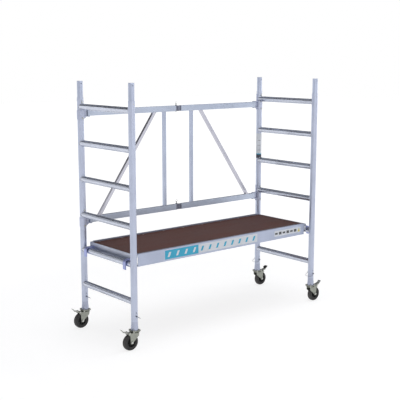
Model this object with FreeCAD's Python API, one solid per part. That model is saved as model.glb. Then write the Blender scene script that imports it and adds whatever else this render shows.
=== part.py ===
import FreeCAD, Part
import math
import os

# Folding room scaffold section in aluminium.
# Frame: +X along the bay to the right end frame, +Y to the guard-rail side, +Z up,
# origin on the floor under the middle of the bay. All sizes are in millimetres.

# ---- Overall sizes -------------------------------------------------------------------
bay_length = 1910.0          # post axis to post axis along the bay
frame_width = 677.0          # front post axis to rear post axis
rung_count = 6
rung_pitch = 280.0
lowest_rung_z = 360.0
top_margin = 70.0            # top rung axis to the top of the post

# ---- End frames ----------------------------------------------------------------------
post_radius = 25.0
post_wall = 2.5
post_foot_rise = 19.0         # stem collar to the post's lower end
spigot_stand = 125.5         # bare length above the post
spigot_insert = 100.0        # length inside the post
spigot_wall = 2.5
spigot_fit = 0.1             # radial clearance of the insert inside its post
spigot_joint_fit = 0.5       # radial clearance of the bare end inside the next post
rung_side_gap = 1.25         # post wider than the rung on each side
rung_wall = 2.4
rung_groove_count = 20
rung_groove_depth = 0.8
weld_gap = 0.15              # root gap under a weld bead
lock_hole_radius = 4.5
lock_hole_drop = 20.0        # spigot top to its cross hole
pin_hole_radius = 4.25
pin_hole_rise = 43.0         # post's lower end to the snap pin
spare_hole_pitch = 25.0

# ---- Castors ----------------------------------------------------------------------------
wheel_radius = 62.5
tyre_width = 36.0
tyre_depth = 24.5
trail = 40.0
stem_insert_rise = 40.0      # spare hole to the top of the insert
collar_extra = 3.0           # collar radius beyond the post
collar_height = 46.5
collar_taper = 30.0
adapter_thickness = 3.5
plate_margin = 9.0           # bolt to the edge of the plate
castor_plate_thickness = 3.0
swivel_gap = 0.3
crown_clearance = 5.2        # tyre to the fork crown
crown_thickness = 3.5
race_height = 8.0
cheek_thickness = 3.0
cheek_side_gap = 1.8         # tyre side to fork cheek
axle_radius = 6.0
running_fit = 0.05
plate_bolt_radius = 4.0
plate_bolt_head_radius = 6.5
plate_bolt_head_height = 5.3
pedal_length = 80.0          # axle to the pedal tip, along the floor
pedal_half_width = 15.0
pedal_thickness = 3.0
pedal_pivot_radius = 4.0

# ---- Back frame -------------------------------------------------------------------------
rail_height = 48.0
rail_depth = 25.0
rail_wall = 2.0
rail_drop = 49.0             # axis of the rung above to the rail axis
lower_rail_rung = 2          # counted from the lowest rung, which is 0
brace_width = 25.0
upright_x = 146.0            # middle of the bay to an upright
diagonal_top_gap = 103.0     # upright to the diagonal's upper end
diagonal_foot_gap = 78.5     # post hinge pin to the diagonal's foot
post_hinge_reach = 73.5      # post axis to the hinge pin
centre_pin_gap = 9.5         # rail's back face to the centre hinge pin
centre_block_length = 29.0
hinge_pin_radius = 6.0
centre_pin_radius = 5.0
pull_ring_radius = 10.0
pull_ring_wire = 1.2
pull_ring_rise = 14.0        # rail top to the eye of the centre pin
knuckle_radius = 9.0
ear_thickness = 5.0
ear_gap = 0.5
band_thickness = 3.5
bracket_bolt_radius = 4.0
bracket_bolt_width = 13.0    # across the flats of head and nut
bracket_bolt_head = 5.0
bracket_bolt_nut = 4.0       # thin lock nut
bracket_bolt_tail = 1.0      # thread showing past the nut
bracket_bolt_gap = 10.25     # rung's top to the upper bolt
bracket_foot = 15.0          # rail's underside to the lower bolt
bolt_hole_fit = 0.1

# ---- Platform ---------------------------------------------------------------------------
hook_rung = 1                # counted from the lowest rung, which is 0
platform_side_gap = 1.4      # end of the lower bracket bolt to side beam
beam_height = 95.0
beam_top_rise = 64.0         # rung axis to the beam's top lip
beam_wall = 3.0
beam_lip = 22.0
deck_thickness = 12.0
deck_recess = 8.0            # deck surface below the lip
ledge_width = 15.0           # under the deck, inside the beam's box
channel_width = 26.0
channel_rim = 8.0
channel_depth = 66.0
hook_width = 32.0
hook_inset = 75.0            # post axis to the hook's middle, along the rung
hook_thickness = 7.0
hook_seat_gap = 0.3
hook_jaw_fit = 2.75          # rung to the inner face of the hook's leg
hook_tip_drop = 18.25        # rung's underside to the hook's tip
hook_channel_gap = 4.5       # hook leg's reach to the end channel
joist_count = 3
joist_width = 30.0
joist_height = 40.0
fit_gap = 0.2                # between platform pieces

# ---- Worked-out places -------------------------------------------------------------------
Vector = FreeCAD.Vector
UP = Vector(0, 0, 1)
post_x = bay_length / 2
post_y = frame_width / 2
rung_heights = [lowest_rung_z + rung_pitch * i for i in range(rung_count)]
post_top_z = rung_heights[-1] + top_margin
rung_radius = post_radius - rung_side_gap
insert_radius = post_radius - post_wall - spigot_fit
spigot_radius = post_radius - post_wall - spigot_joint_fit
collar_radius = post_radius + collar_extra
rim_radius = wheel_radius - tyre_depth
crown_bottom_z = 2 * wheel_radius + crown_clearance
castor_plate_bottom_z = crown_bottom_z + crown_thickness + race_height + swivel_gap
adapter_bottom_z = castor_plate_bottom_z + castor_plate_thickness
adapter_top_z = adapter_bottom_z + adapter_thickness
collar_top_z = adapter_top_z + collar_height
post_bottom_z = collar_top_z + post_foot_rise
pin_hole_z = post_bottom_z + pin_hole_rise
spare_hole_z = pin_hole_z + spare_hole_pitch
stem_insert_top_z = spare_hole_z + stem_insert_rise
pedal_tip_x = trail + pedal_length
bolt_offset = (collar_radius + plate_bolt_head_radius + 1.5) / math.sqrt(2)
plate_half = bolt_offset + plate_margin
cheek_inner_y = tyre_width / 2 + cheek_side_gap
cheek_outer_y = cheek_inner_y + cheek_thickness
bracket_rungs = [rung_heights[lower_rail_rung], rung_heights[-1]]
rail_heights = [z - rail_drop for z in bracket_rungs]
rail_end_x = post_x - post_hinge_reach + rail_depth / 2
post_hinge_x = post_x - post_hinge_reach
centre_pin_offset = rail_depth / 2 + centre_pin_gap
bracket_bolt_rise = rung_radius + bracket_bolt_gap
bracket_bolt_drop = rail_drop + rail_height / 2 + bracket_foot
band_radius = post_radius + 0.1 + band_thickness
hook_rung_z = rung_heights[hook_rung]
beam_top_z = hook_rung_z + beam_top_rise
beam_bottom_z = beam_top_z - beam_height
bracket_bolt_reach = band_radius + bracket_bolt_nut + bracket_bolt_tail
beam_outer_y = post_y - bracket_bolt_reach - platform_side_gap
beam_lip_y = beam_outer_y - beam_lip
ledge_y = beam_lip_y - ledge_width
hook_jaw_gap = rung_radius + hook_jaw_fit
hook_drop = rung_radius + hook_tip_drop
channel_end_gap = hook_jaw_gap + hook_thickness + hook_channel_gap
deck_top_z = beam_top_z - deck_recess
deck_bottom_z = deck_top_z - deck_thickness
channel_outer_x = post_x - channel_end_gap
beam_end_x = channel_outer_x - channel_width

SIDES = {"left": -1, "right": 1}
ROWS = {"front": -1, "rear": 1}


# ---- Small shape helpers ------------------------------------------------------------------
def box(xs, ys, zs):
    """A block between two values on each axis, given in either order."""
    low = Vector(min(xs), min(ys), min(zs))
    high = Vector(max(xs), max(ys), max(zs))
    size = high - low
    return Part.makeBox(size.x, size.y, size.z, low)


def rod(radius, start, end):
    """A solid cylinder between two points."""
    path = end - start
    return Part.makeCylinder(radius, path.Length, start, path)


def pipe(outer, inner, start, end):
    """A straight round tube."""
    return rod(outer, start, end).cut(rod(inner, start, end))


def prism(points, sweep):
    """A closed polygon of 3-D points pushed along a vector."""
    outline = Part.makePolygon(points + [points[0]])
    return Part.Face(outline).extrude(sweep)


def prism_xz(points, low_y, high_y):
    """A polygon of (x, z) points between two values of y."""
    return prism([Vector(x, low_y, z) for x, z in points], Vector(0, high_y - low_y, 0))


def prism_xy(points, low_z, high_z):
    """A polygon of (x, y) points between two values of z."""
    return prism([Vector(x, y, low_z) for x, y in points], Vector(0, 0, high_z - low_z))


def turned(points, centre):
    """A solid of revolution about a vertical axis from (radius, z) points."""
    outline = Part.makePolygon([Vector(r, 0, z) for r, z in points + [points[0]]])
    solid = Part.Face(outline).revolve(Vector(0, 0, 0), UP, 360)
    solid.translate(centre)
    return solid


def hexagon(across_flats, height, start, direction):
    """A hexagonal bolt head or nut."""
    radius = across_flats / math.sqrt(3)
    points = []
    for i in range(6):
        angle = math.radians(60 * i)
        points.append(Vector(radius * math.cos(angle), radius * math.sin(angle), 0))
    solid = prism(points, Vector(0, 0, height))
    solid.Placement = FreeCAD.Placement(start, FreeCAD.Rotation(UP, direction))
    return solid


def joined(shapes):
    """One solid from pieces that overlap or touch."""
    return shapes[0].fuse(shapes[1:]).removeSplitter()


def mirrored_x(shape):
    return shape.mirror(Vector(0, 0, 0), Vector(1, 0, 0))


def mirrored_y(shape):
    return shape.mirror(Vector(0, 0, 0), Vector(0, 1, 0))


def to_side(shape, side):
    """A piece drawn on the right, put on its own side of the bay."""
    return shape if side > 0 else mirrored_x(shape)


def to_row(shape, row):
    """A piece drawn at the rear, put in its own row."""
    return shape if row > 0 else mirrored_y(shape)


def save(name, shapes):
    """Write one node: a single solid or a group of separate solids."""
    solids = [solid for shape in shapes for solid in shape.Solids]
    body = solids[0] if len(solids) == 1 else Part.makeCompound(solids)
    body.exportStep("parts/" + name + ".step")
    print(name, len(solids), "solids", round(sum(s.Volume for s in solids) / 1000.0, 1), "cm3")


def cross_hole(x, y, z, radius):
    """A drill along Y, long enough to pass one post and its bracket."""
    reach = post_radius * 2
    return rod(radius, Vector(x, y - reach, z), Vector(x, y + reach, z))


# ---- End frames ------------------------------------------------------------------------------
def bracket_bolt_heights():
    """Heights of the bolts that hold the hinge brackets on the rear posts."""
    heights = []
    for rung_z in bracket_rungs:
        heights.append(rung_z + bracket_bolt_rise)
        heights.append(rung_z - bracket_bolt_drop)
    return heights


def post(x, y, has_brackets):
    """Main tube, open at both ends, with its cross holes."""
    inner = post_radius - post_wall
    solid = pipe(post_radius, inner, Vector(x, y, post_bottom_z), Vector(x, y, post_top_z))
    for z in (pin_hole_z, spare_hole_z):
        solid = solid.cut(cross_hole(x, y, z, pin_hole_radius))
    if has_brackets:
        for z in bracket_bolt_heights():
            solid = solid.cut(cross_hole(x, y, z, bracket_bolt_radius + bolt_hole_fit))
    return solid


def spigot(x, y, has_brackets):
    """Joining tube on top of a post, chamfered, with a cross hole for a lock pin."""
    low = post_top_z - spigot_insert
    high = post_top_z + spigot_stand
    inner = insert_radius - spigot_wall
    chamfer = 1.5
    outline = [(inner, low), (insert_radius, low), (insert_radius, post_top_z), (spigot_radius, post_top_z)]
    outline += [(spigot_radius, high - chamfer)]
    outline += [(spigot_radius - chamfer, high), (inner, high)]
    solid = turned(outline, Vector(x, y, 0))
    solid = solid.cut(cross_hole(x, y, high - lock_hole_drop, lock_hole_radius))
    if has_brackets:
        bolt_z = rung_heights[-1] + bracket_bolt_rise
        solid = solid.cut(cross_hole(x, y, bolt_z, bracket_bolt_radius + bolt_hole_fit))
    return solid


def fluted_section():
    """Outline of a rung: a circle with evenly spaced shallow grooves along it."""
    def point(radius, angle):
        return Vector(radius * math.cos(angle), 0, radius * math.sin(angle))

    step = 2 * math.pi / rung_groove_count
    rib = 0.62 * step
    groove_radius = rung_radius - rung_groove_depth
    edges = []
    for i in range(rung_groove_count):
        start = i * step
        middle = start + rib
        end = start + step
        rib_arc = [point(rung_radius, angle) for angle in (start, (start + middle) / 2, middle)]
        groove_arc = [point(groove_radius, angle) for angle in (middle, (middle + end) / 2, end)]
        edges.append(Part.Arc(*rib_arc).toShape())
        edges.append(Part.makeLine(rib_arc[2], groove_arc[0]))
        edges.append(Part.Arc(*groove_arc).toShape())
        edges.append(Part.makeLine(groove_arc[2], point(rung_radius, end)))
    return Part.Wire(edges)


def rung():
    """A hollow ribbed rung across one frame at x = 0, z = 0, coped to both posts."""
    section = Part.Face(fluted_section())
    section.translate(Vector(0, -post_y, 0))
    solid = section.extrude(Vector(0, frame_width, 0))
    bore = rung_radius - rung_wall
    solid = solid.cut(rod(bore, Vector(0, -post_y, 0), Vector(0, post_y, 0)))
    for y in (-post_y, post_y):
        cope = rod(post_radius + weld_gap, Vector(0, y, -2 * rung_radius), Vector(0, y, 2 * rung_radius))
        solid = solid.cut(cope)
    return solid


def rungs(side):
    first = rung()
    return [first.translated(Vector(side * post_x, 0, z)) for z in rung_heights]


# ---- Post hinge brackets ---------------------------------------------------------------------
def ear(low_z):
    """A flat ear from the post band to the hinge pin, on the right rear post."""
    pin = Vector(post_hinge_x, post_y, low_z)
    tip_radius = hinge_pin_radius + 5.0
    root_half = post_radius * 0.6
    outline = [
        (post_x - post_radius, post_y - root_half),
        (post_x - post_radius, post_y + root_half),
        (post_hinge_x, post_y + tip_radius),
        (post_hinge_x, post_y - tip_radius),
    ]
    plate = prism_xy(outline, low_z, low_z + ear_thickness)
    tip = Part.makeCylinder(tip_radius, ear_thickness, pin)
    return joined([plate, tip])


def post_bracket(rung_z, rail_z):
    """Band round the right rear post, strap past the rung, gusset and two ears."""
    x, y = post_x, post_y
    inner = post_radius + 0.1
    band_top = rung_z - rung_radius - 4.0
    band_low = rung_z - bracket_bolt_drop - 9.0
    strap_top = rung_z + bracket_bolt_rise + 9.0
    band = pipe(band_radius, inner, Vector(x, y, band_low), Vector(x, y, band_top))
    sleeve = pipe(band_radius, inner, Vector(x, y, band_top - 1.0), Vector(x, y, strap_top))
    keep_angle = 100.0
    far = 3 * band_radius
    wedge = Part.makeCylinder(far, strap_top, Vector(x, y, 0), UP, keep_angle)
    wedge.rotate(Vector(x, y, 0), UP, 88.0)
    strap = sleeve.common(wedge)
    lower_ear_z = rail_z - rail_height / 2 - ear_gap - ear_thickness
    upper_ear_z = rail_z + rail_height / 2 + ear_gap
    gusset_end = post_hinge_x + math.hypot(rail_depth / 2, rail_depth / 2) + 2.0
    gusset_half = 3.0
    outline = [
        (x - inner - 1.0, band_low),
        (x - band_radius, band_low),
        (gusset_end, lower_ear_z),
        (gusset_end, upper_ear_z + ear_thickness),
        (x - inner - 1.0, upper_ear_z + ear_thickness),
    ]
    gusset = prism_xz(outline, y - gusset_half, y + gusset_half)
    solid = joined([band, strap, gusset, ear(lower_ear_z), ear(upper_ear_z)])
    solid = solid.cut(rod(inner, Vector(x, y, band_low - 1), Vector(x, y, strap_top + 1)))
    low_pin = Vector(post_hinge_x, y, lower_ear_z - 1)
    high_pin = Vector(post_hinge_x, y, upper_ear_z + ear_thickness + 1)
    solid = solid.cut(rod(hinge_pin_radius + running_fit, low_pin, high_pin))
    for z in (rung_z + bracket_bolt_rise, rung_z - bracket_bolt_drop):
        solid = solid.cut(cross_hole(x, y, z, bracket_bolt_radius + bolt_hole_fit))
    return solid


def bracket_bolt(z, front_y):
    """Through bolt along Y on the right rear post, nut on the front side."""
    rear_y = post_y + band_radius
    nut_face = front_y - bracket_bolt_nut
    tail_y = nut_face - bracket_bolt_tail
    shank = rod(bracket_bolt_radius, Vector(post_x, tail_y, z), Vector(post_x, rear_y, z))
    cap = hexagon(bracket_bolt_width, bracket_bolt_head, Vector(post_x, rear_y, z), Vector(0, 1, 0))
    nut = hexagon(bracket_bolt_width, bracket_bolt_nut, Vector(post_x, nut_face, z), Vector(0, 1, 0))
    return joined([shank, cap, nut])


def bracket_bolts(side):
    bolts = []
    for rung_z in bracket_rungs:
        bolts.append(bracket_bolt(rung_z + bracket_bolt_rise, post_y - post_radius))
        bolts.append(bracket_bolt(rung_z - bracket_bolt_drop, post_y - band_radius))
    return [to_side(bolt, side) for bolt in bolts]


def post_hinge_pin(rail_z):
    """Headed pin through the ears and the rail's end on the right side."""
    reach = rail_height / 2 + ear_gap + ear_thickness
    low = Vector(post_hinge_x, post_y, rail_z - reach - 3.0)
    high = Vector(post_hinge_x, post_y, rail_z + reach)
    head_top = high + Vector(0, 0, 3.0)
    clip = pipe(hinge_pin_radius + 2.5, hinge_pin_radius - 1.0, low, low + Vector(0, 0, 2.0))
    return joined([rod(hinge_pin_radius, low, high), rod(hinge_pin_radius + 3.5, high, head_top), clip])


# ---- Back frame panels --------------------------------------------------------------------------
def rail(rail_z):
    """Right half of a rail: box tube with a bush for the post hinge pin."""
    half_depth = rail_depth / 2
    half_height = rail_height / 2
    ys = (post_y - half_depth, post_y + half_depth)
    zs = (rail_z - half_height, rail_z + half_height)
    xs = (centre_block_length, rail_end_x)
    inner_ys = (ys[0] + rail_wall, ys[1] - rail_wall)
    inner_zs = (zs[0] + rail_wall, zs[1] - rail_wall)
    shell = box(xs, ys, zs).cut(box(xs, inner_ys, inner_zs))
    low = Vector(post_hinge_x, post_y, zs[0])
    high = Vector(post_hinge_x, post_y, zs[1])
    bush = rod(hinge_pin_radius + 3.0, low, high)
    solid = joined([shell, bush])
    return solid.cut(rod(hinge_pin_radius + running_fit, low, high))


def brace(foot_x, top_x):
    """Square tube between the rails, cut level at both ends."""
    low_z = rail_heights[0] + rail_height / 2 + weld_gap
    high_z = rail_heights[1] - rail_height / 2 - weld_gap
    length = math.hypot(top_x - foot_x, high_z - low_z)
    level_half = brace_width / 2 * length / (high_z - low_z)
    inner_half = (brace_width / 2 - rail_wall) * length / (high_z - low_z)

    def bar(half_x, half_y):
        outline = [
            (foot_x - half_x, low_z),
            (foot_x + half_x, low_z),
            (top_x + half_x, high_z),
            (top_x - half_x, high_z),
        ]
        return prism_xz(outline, post_y - half_y, post_y + half_y)

    return bar(level_half, brace_width / 2).cut(bar(inner_half, brace_width / 2 - rail_wall))


def centre_hinge(rail_z, outer_knuckles):
    """Hinge half on the right: plug in the rail, block, web and knuckles."""
    plug_gap = 0.2
    plug_half_y = rail_depth / 2 - rail_wall - plug_gap
    plug_half_z = rail_height / 2 - rail_wall - plug_gap
    block_half_z = rail_height / 2 - 1.5
    seam = 0.5
    pin_y = post_y + centre_pin_offset
    back_y = post_y + rail_depth / 2
    plug_end = centre_block_length + 45.0
    plug = box(
        (centre_block_length - 1.0, plug_end),
        (post_y - plug_half_y, post_y + plug_half_y),
        (rail_z - plug_half_z, rail_z + plug_half_z),
    )
    block = box(
        (seam, centre_block_length),
        (post_y - rail_depth / 2, back_y),
        (rail_z - block_half_z, rail_z + block_half_z),
    )
    window = box(
        (seam + 5.0, centre_block_length - 5.0),
        (post_y - rail_depth / 2, post_y - rail_depth / 2 + 4.0),
        (rail_z - block_half_z + 6.0, rail_z + block_half_z - 6.0),
    )
    split = rail_height / 6
    gap = 0.3
    if outer_knuckles:
        bands = [(-rail_height / 2, -split - gap), (split + gap, rail_height / 2)]
    else:
        bands = [(-split, split)]
    shapes = [plug, block.cut(window)]
    for low, high in bands:
        zs = (rail_z + low, rail_z + high)
        shapes.append(Part.makeCylinder(knuckle_radius, high - low, Vector(0, pin_y, zs[0])))
        shapes.append(box((seam, 14.0), (back_y - 1.0, pin_y), zs))
    solid = joined(shapes)
    reach = Vector(0, 0, rail_height)
    middle = Vector(0, pin_y, rail_z)
    return solid.cut(rod(centre_pin_radius + running_fit, middle - reach, middle + reach))


def centre_pin(rail_z):
    """Pin of a centre hinge, standing above the rail with a small grip head."""
    pin_y = post_y + centre_pin_offset
    rail_top = rail_z + rail_height / 2
    sag = pull_ring_radius - math.sqrt(pull_ring_radius ** 2 - centre_pin_radius ** 2)
    eye_radius = pull_ring_wire + sag / 2 + 0.7
    low = Vector(0, pin_y, rail_z - rail_height / 2 - 7.0)
    high = Vector(0, pin_y, rail_top + pull_ring_rise + eye_radius + 3.0)
    collar_low = Vector(0, pin_y, rail_top + 0.3)
    collar = rod(centre_pin_radius + 2.0, collar_low, collar_low + Vector(0, 0, 3.0))
    eye_z = rail_top + pull_ring_rise + sag / 2
    reach = 2 * centre_pin_radius
    eye = rod(eye_radius, Vector(-reach, pin_y, eye_z), Vector(reach, pin_y, eye_z))
    return joined([rod(centre_pin_radius, low, high), collar]).cut(eye)


def pull_ring(rail_z):
    """Wire ring through the eye of a centre hinge pin, standing upright."""
    pin_y = post_y + centre_pin_offset
    centre_z = rail_z + rail_height / 2 + pull_ring_rise + pull_ring_radius
    return Part.makeTorus(pull_ring_radius, pull_ring_wire, Vector(0, pin_y, centre_z), Vector(0, 1, 0))


# ---- Castors, drawn at the origin with the wheel trailing to +X ----------------------------------
def stem():
    """Post insert, collar and bolted adapter plate."""
    bore = insert_radius - 3.0
    floor_z = adapter_top_z + 12.0
    outline = [
        (0, adapter_bottom_z),
        (collar_radius, adapter_bottom_z),
        (collar_radius, collar_top_z - collar_taper),
        (post_radius, collar_top_z),
        (post_radius, post_bottom_z - weld_gap),
        (insert_radius, post_bottom_z - weld_gap),
        (insert_radius, stem_insert_top_z - 1.5),
        (insert_radius - 1.5, stem_insert_top_z),
        (bore, stem_insert_top_z),
        (bore, floor_z),
        (0, floor_z),
    ]
    solid = joined([turned(outline, Vector(0, 0, 0)), square_plate(adapter_bottom_z, adapter_top_z)])
    for z in (pin_hole_z, spare_hole_z):
        solid = solid.cut(cross_hole(0, 0, z, pin_hole_radius))
    return solid.cut(bolt_holes(adapter_bottom_z, adapter_top_z))


def square_plate(low_z, high_z):
    """Square plate with rounded corners about the swivel axis."""
    plate = box((-plate_half, plate_half), (-plate_half, plate_half), (low_z, high_z))
    corners = [edge for edge in plate.Edges if abs(edge.Vertexes[0].Z - edge.Vertexes[1].Z) > 1.0]
    return plate.makeFillet(8.0, corners)


def bolt_places():
    return [(x * bolt_offset, y * bolt_offset) for x in (-1, 1) for y in (-1, 1)]


def bolt_holes(low_z, high_z):
    radius = plate_bolt_radius + bolt_hole_fit
    holes = [rod(radius, Vector(x, y, low_z - 1), Vector(x, y, high_z + 1)) for x, y in bolt_places()]
    return Part.makeCompound(holes)


def castor_plate():
    """Top plate of the castor with its riveted king pin."""
    low = castor_plate_bottom_z
    plate = square_plate(low, adapter_bottom_z).cut(bolt_holes(low, adapter_bottom_z))
    king = rod(7.0, Vector(0, 0, crown_bottom_z - 4.0), Vector(0, 0, low + 1.0))
    head_top = crown_bottom_z - swivel_gap
    head_outline = [(0, head_top - 4.2), (9.0, head_top - 4.2), (12.0, head_top), (0, head_top)]
    head = turned(head_outline, Vector(0, 0, 0))
    return joined([plate, king, head])


def plate_bolt(x, y):
    """Hexagon bolt from above with its nut below the castor plate."""
    low = castor_plate_bottom_z - plate_bolt_head_height - 2.0
    nut_z = castor_plate_bottom_z - plate_bolt_head_height
    shank = rod(plate_bolt_radius, Vector(x, y, low), Vector(x, y, adapter_top_z))
    flats = plate_bolt_head_radius * math.sqrt(3)
    head = hexagon(flats, plate_bolt_head_height, Vector(x, y, adapter_top_z), UP)
    nut = hexagon(flats, plate_bolt_head_height, Vector(x, y, nut_z), UP)
    return joined([shank, head, nut])


pedal_pivot = Vector(trail + 20.0, 0, crown_bottom_z + 5.0)


def fork():
    """Pressed fork: swivel race, crown and two tapering cheeks."""
    crown_top = crown_bottom_z + crown_thickness
    race_top = crown_top + race_height
    race_radius = math.hypot(bolt_offset, bolt_offset) - plate_bolt_head_radius - 3.0
    crown_radius = race_radius + 8.0
    race = [
        (race_radius - 3.0, crown_top - 1.0),
        (race_radius, crown_top + 2.5),
        (race_radius, race_top - 2.5),
        (race_radius - 2.5, race_top),
        (0, race_top),
        (0, crown_top - 1.0),
    ]
    disc = Part.makeCylinder(crown_radius, crown_thickness, Vector(0, 0, crown_bottom_z))
    bridge = box((0, trail + 6.0), (-cheek_outer_y, cheek_outer_y), (crown_bottom_z, crown_top))
    foot_radius = 12.0
    pivot_x = pedal_pivot.x
    outline = [
        (-crown_radius + 8.0, crown_top),
        (pivot_x - 10.0, crown_top),
        (pivot_x - 6.0, crown_top + 9.0),
        (pivot_x + 6.0, crown_top + 9.0),
        (pivot_x + 10.0, crown_bottom_z),
        (pivot_x + 7.0, crown_bottom_z - 7.0),
        (trail + 14.0, crown_bottom_z - 16.0),
        (trail + foot_radius, wheel_radius),
        (trail - foot_radius, wheel_radius),
        (-crown_radius + 11.0, crown_bottom_z - 24.0),
    ]
    shapes = [turned(race, Vector(0, 0, 0)), disc, bridge]
    for low_y in (-cheek_outer_y, cheek_inner_y):
        high_y = low_y + cheek_thickness
        cheek = prism_xz(outline, low_y, high_y)
        foot = rod(foot_radius, Vector(trail, low_y, wheel_radius), Vector(trail, high_y, wheel_radius))
        shapes += [cheek, foot]
    solid = joined(shapes)
    king_bore = rod(7.0 + running_fit, Vector(0, 0, crown_bottom_z - 1), Vector(0, 0, race_top + 1))
    across = Vector(0, cheek_outer_y + 1, 0)
    axle = Vector(trail, 0, wheel_radius)
    axle_bore = rod(axle_radius + 0.02, axle - across, axle + across)
    pivot_bore = rod(pedal_pivot_radius + 0.02, pedal_pivot - across, pedal_pivot + across)
    return solid.cut(king_bore).cut(axle_bore).cut(pivot_bore)


def axle_set():
    """Wheel bolt with head and nut, and the riveted pin of the brake pedal."""
    along = Vector(0, 1, 0)
    axle = Vector(trail, 0, wheel_radius)
    head = 6.0
    start = axle - along * (cheek_outer_y + head + 1.0)
    end = axle + along * (cheek_outer_y + head)
    shank = rod(axle_radius, start, end)
    nut = hexagon(18.0, head, axle - along * (cheek_outer_y + head), along)
    cap = hexagon(18.0, head, axle + along * cheek_outer_y, along)
    reach = cheek_outer_y + 2.5
    pin = rod(pedal_pivot_radius, pedal_pivot - along * reach, pedal_pivot + along * reach)
    shapes = [pin]
    for end_sign in (-1, 1):
        outer_end = pedal_pivot + along * (end_sign * reach)
        inner_end = pedal_pivot + along * (end_sign * cheek_outer_y)
        shapes.append(rod(pedal_pivot_radius + 2.0, outer_end, inner_end))
    return [joined([shank, nut, cap]), joined(shapes)]


def wheel_turned(outline):
    """A solid turned about the axle from (radius, offset along the axle) points."""
    points = [Vector(trail, offset, wheel_radius + radius) for radius, offset in outline]
    face = Part.Face(Part.makePolygon(points + [points[0]]))
    return face.revolve(Vector(trail, 0, wheel_radius), Vector(0, 1, 0), 360)


def rim():
    """Moulded wheel centre: hub, web and the band that carries the tyre."""
    hub_half = cheek_inner_y - 1.0
    band_half = tyre_width / 2 - 2.0
    hub_radius = axle_radius + 8.0
    bore = axle_radius + running_fit
    web = 4.0
    half = [
        (bore, hub_half),
        (hub_radius, hub_half),
        (hub_radius + 1.5, web),
        (rim_radius - 6.0, web),
        (rim_radius - 4.0, band_half),
        (rim_radius, band_half),
    ]
    outline = half + [(radius, -offset) for radius, offset in reversed(half)]
    return wheel_turned(outline)


def tyre():
    """Solid rubber tyre with rounded shoulders and a slightly crowned tread."""
    half = tyre_width / 2
    seat = rim_radius + 0.1
    depth = wheel_radius - seat
    profile = [
        (seat, half - 2.0),
        (seat + 2.0, half - 0.5),
        (seat + depth * 0.45, half),
        (seat + depth * 0.72, half - 1.5),
        (seat + depth * 0.88, half - 4.5),
        (seat + depth * 0.97, half - 9.0),
        (wheel_radius, 5.0),
    ]
    outline = profile + [(radius, -offset) for radius, offset in reversed(profile)]
    return wheel_turned(outline)


def pedal():
    """Pressed brake pedal on its pivot, with side flanges and a brake cam."""
    px, pz = pedal_pivot.x, pedal_pivot.z
    tip = pedal_tip_x
    run = tip - px
    half = pedal_half_width
    upper = [
        (px, pz + 8.0),
        (px + run * 0.33, pz + 11.5),
        (px + run * 0.57, pz + 14.5),
        (px + run * 0.80, pz + 24.0),
        (tip - 2.0, pz + 35.0),
    ]
    lower = [(x + 1.2, z - pedal_thickness) for x, z in reversed(upper)]
    tread = prism_xz(upper + lower, -half, half)
    hub_half = cheek_inner_y - 1.0
    hub = rod(8.0, Vector(px, -hub_half, pz), Vector(px, hub_half, pz))
    shapes = [hub, tread]
    web = [
        (px, pz - 4.0),
        (px + run * 0.55, pz + 4.0),
        (px + run * 0.80, pz + 22.0),
        (px + run * 0.57, pz + 13.0),
        (px, pz + 7.0),
    ]
    for low_y in (-half, half - pedal_thickness):
        shapes.append(prism_xz(web, low_y, low_y + pedal_thickness))
    cam = [(px - 4.0, pz - 5.0), (px + 3.0, pz - 10.5), (px + 7.0, pz - 3.0), (px, pz)]
    shapes.append(prism_xz(cam, -8.0, 8.0))
    solid = joined(shapes)
    bore = pedal_pivot_radius + running_fit
    across = Vector(0, hub_half + 1, 0)
    return solid.cut(rod(bore, pedal_pivot - across, pedal_pivot + across))


def snap_pin():
    """Cross pin of a castor stem and the spring bow that wraps the post, bow towards -X."""
    reach = post_radius + 11.0
    pin_radius = pin_hole_radius - 0.25
    wire = 1.5
    bow_droop = 32.0
    bow_reach = post_radius + 20.0
    corner = 20.0
    leg_end = Vector(corner - bow_reach, -reach, 0)
    leg = rod(wire, Vector(-pin_radius - running_fit, -reach, 0), leg_end)
    section = Part.Face(Part.Wire(Part.makeCircle(wire, leg_end, Vector(1, 0, 0))))
    bend = section.revolve(leg_end + Vector(0, corner, 0), UP, -90)
    back = rod(wire, Vector(-bow_reach, corner - reach, 0), Vector(-bow_reach, reach - corner, 0))
    bow = joined([leg, bend, back, mirrored_y(leg), mirrored_y(bend)])
    bow.rotate(Vector(0, 0, 0), Vector(0, 1, 0), -bow_droop)
    bow.translate(Vector(0, 0, pin_hole_z))
    pin = rod(pin_radius, Vector(0, -reach - 1.5, pin_hole_z), Vector(0, reach + 1.5, pin_hole_z))
    head = rod(6.0, Vector(0, -post_radius - 4.0, pin_hole_z), Vector(0, -post_radius - 0.3, pin_hole_z))
    return Part.makeCompound([joined([pin, head]), bow])


def at_post(shape, side, row):
    """A castor piece drawn at the origin, put under its own post, trailing outwards."""
    placed = to_side(shape, side)
    return placed.translated(Vector(side * post_x, row * post_y, 0))


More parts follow.
